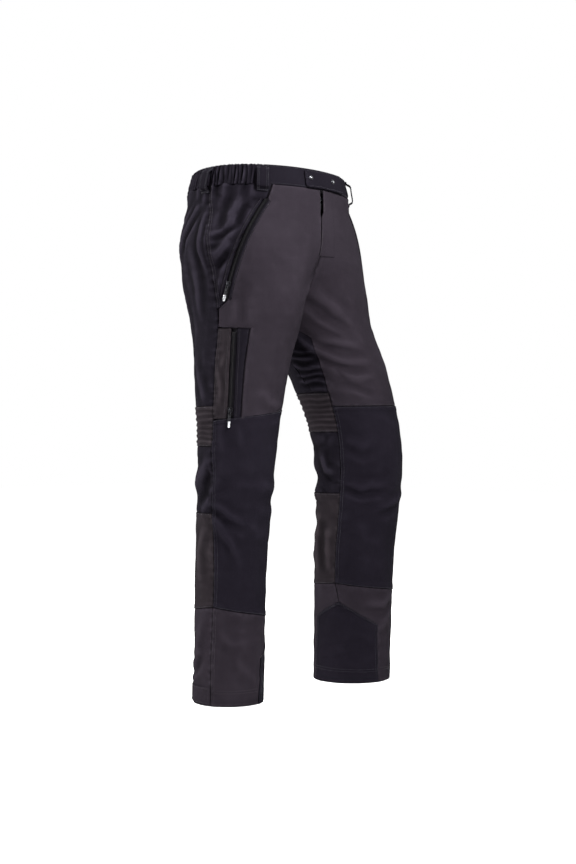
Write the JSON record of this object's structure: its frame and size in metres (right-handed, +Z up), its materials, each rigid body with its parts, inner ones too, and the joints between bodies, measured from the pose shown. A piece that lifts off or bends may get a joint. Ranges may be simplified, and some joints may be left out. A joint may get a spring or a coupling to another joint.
{
  "type": "chainsaw protective trousers",
  "caption": "Work trousers with cut protection pads over the front of the legs, zipped pockets, a snap waist tab and belt loops, in a walking pose.",
  "frame": {"origin": "centre of the waist opening, level with the top edge of the waistband", "axes": "+Z up towards the waist, the wearer faces -Y, the wearer's left is +X"},
  "size_m": [0.5481, 0.3412, 1.0546],
  "materials": {
    "grey_canvas": "matte woven",
    "black_canvas": "matte woven",
    "stretch": "matte stretch weave",
    "cut_fibre": "loose fibre layers",
    "lining": "fine mesh",
    "elastic": "ribbed webbing",
    "zip_plastic": "moulded teeth on tape",
    "metal": "satin",
    "puller": "moulded end on cord"
  },
  "bodies": {
    "trousers": {"right_thigh_front": "grey_canvas", "right_knee_front": "black_canvas", "right_shin_front": "grey_canvas", "right_hip_yoke": "black_canvas", "right_seat": "black_canvas", "right_knee_back_band": "stretch", "right_knee_back": "black_canvas", "right_calf_back": "stretch", "right_ankle_back": "grey_canvas", "right_inner_thigh_gusset": "black_canvas", "right_kick_patch": "black_canvas", "right_hem_facing": "grey_canvas", "right_cut_pad": "cut_fibre", "right_lining": "lining", "right_hip_pocket_bag": "lining", "right_hip_zip": "zip_plastic", "left_thigh_front": "grey_canvas", "left_knee_front": "black_canvas", "left_shin_front": "grey_canvas", "left_hip_yoke": "black_canvas", "left_seat": "black_canvas", "left_knee_back_band": "stretch", "left_knee_back": "black_canvas", "left_calf_back": "stretch", "left_ankle_back": "grey_canvas", "left_inner_thigh_gusset": "black_canvas", "left_kick_patch": "black_canvas", "left_hem_facing": "grey_canvas", "left_cut_pad": "cut_fibre", "left_lining": "lining", "left_hip_pocket_bag": "lining", "left_hip_zip": "zip_plastic", "thigh_side_strip": "stretch", "thigh_zip_welt": "black_canvas", "thigh_pocket_bag": "lining", "thigh_zip": "zip_plastic", "waistband_front_right": "black_canvas", "waistband_front_left": "black_canvas", "waistband_back_casing": "black_canvas", "waistband_elastic": "elastic", "belt_loops": "black_canvas", "band_snap_studs": "metal", "fly_guard": "black_canvas", "fly_zip": "zip_plastic"},
    "right_hip_slider": {"right_hip_zip_slider": "metal"},
    "right_hip_puller": {"right_hip_zip_puller": "puller"},
    "left_hip_slider": {"left_hip_zip_slider": "metal"},
    "left_hip_puller": {"left_hip_zip_puller": "puller"},
    "right_hem_strap": {"right_hem_strap": "grey_canvas"},
    "left_hem_strap": {"left_hem_strap": "grey_canvas"},
    "thigh_slider": {"thigh_zip_slider": "metal"},
    "thigh_puller": {"thigh_zip_puller": "puller"},
    "fly_slider": {"fly_zip_slider": "metal"},
    "fly_puller": {"fly_zip_puller": "puller"},
    "waist_tab": {"waist_tab": "black_canvas", "tab_snap_caps": "metal"},
    "fly_flap": {"fly_flap": "grey_canvas"}
  },
  "joints": [
    {"name": "right_hip_zip_travel", "type": "hinge", "parent": "trousers", "child": "right_hip_slider", "pos_m": [0.05574, 0.00332, -0.22918], "axis": [-0.2056, 0.937, 0.2825], "range_deg": [0, 35]},
    {"name": "right_hip_puller_swing", "type": "hinge", "parent": "right_hip_slider", "child": "right_hip_puller", "pos_m": [-0.20363, -0.05112, -0.23739], "axis": [-0.2056, 0.937, 0.2825], "range_deg": [0, 150]},
    {"name": "left_hip_zip_travel", "type": "hinge", "parent": "trousers", "child": "left_hip_slider", "pos_m": [-0.10286, 0.02918, -0.27708], "axis": [-0.1923, -0.9344, -0.2998], "range_deg": [0, 28]},
    {"name": "left_hip_puller_swing", "type": "hinge", "parent": "left_hip_slider", "child": "left_hip_puller", "pos_m": [0.22286, -0.05078, -0.23685], "axis": [-0.1923, -0.9344, -0.2998], "range_deg": [0, 150]},
    {"name": "thigh_zip_travel", "type": "slide", "parent": "trousers", "child": "thigh_slider", "axis": [0.0117, -0.052, 0.9986], "range_m": [0, 0.135]},
    {"name": "thigh_puller_swing", "type": "hinge", "parent": "thigh_slider", "child": "thigh_puller", "pos_m": [-0.19976, -0.05277, -0.47984], "axis": [-0.4386, 0.8972, 0.0519], "range_deg": [0, 150]},
    {"name": "fly_zip_travel", "type": "slide", "parent": "trousers", "child": "fly_slider", "axis": [-0.0234, 0.0014, -0.9997], "range_m": [0, 0.074]},
    {"name": "fly_puller_swing", "type": "hinge", "parent": "fly_slider", "child": "fly_puller", "pos_m": [-0.00542, -0.11941, -0.056], "axis": [-0.9997, 0, 0.0234], "range_deg": [0, 150]},
    {"name": "waist_tab_open", "type": "hinge", "parent": "trousers", "child": "waist_tab", "pos_m": [0.07293, -0.11695, -0.039], "axis": [-0.0618, 0.1631, 0.9847], "range_deg": [0, 120]},
    {"name": "fly_flap_open", "type": "hinge", "parent": "trousers", "child": "fly_flap", "pos_m": [0.031, -0.12837, -0.172], "axis": [0, 0.0361, 0.9993], "range_deg": [0, 60]},
    {"name": "right_hem_strap_open", "type": "hinge", "parent": "trousers", "child": "right_hem_strap", "pos_m": [-0.2047, -0.00473, -1.0516], "axis": [0, -0.0229, 0.9997], "range_deg": [0, 80]},
    {"name": "left_hem_strap_open", "type": "hinge", "parent": "trousers", "child": "left_hem_strap", "pos_m": [0.32815, -0.02361, -1.0516], "axis": [0.082, 0.0929, -0.9923], "range_deg": [0, 80]}
  ]
}
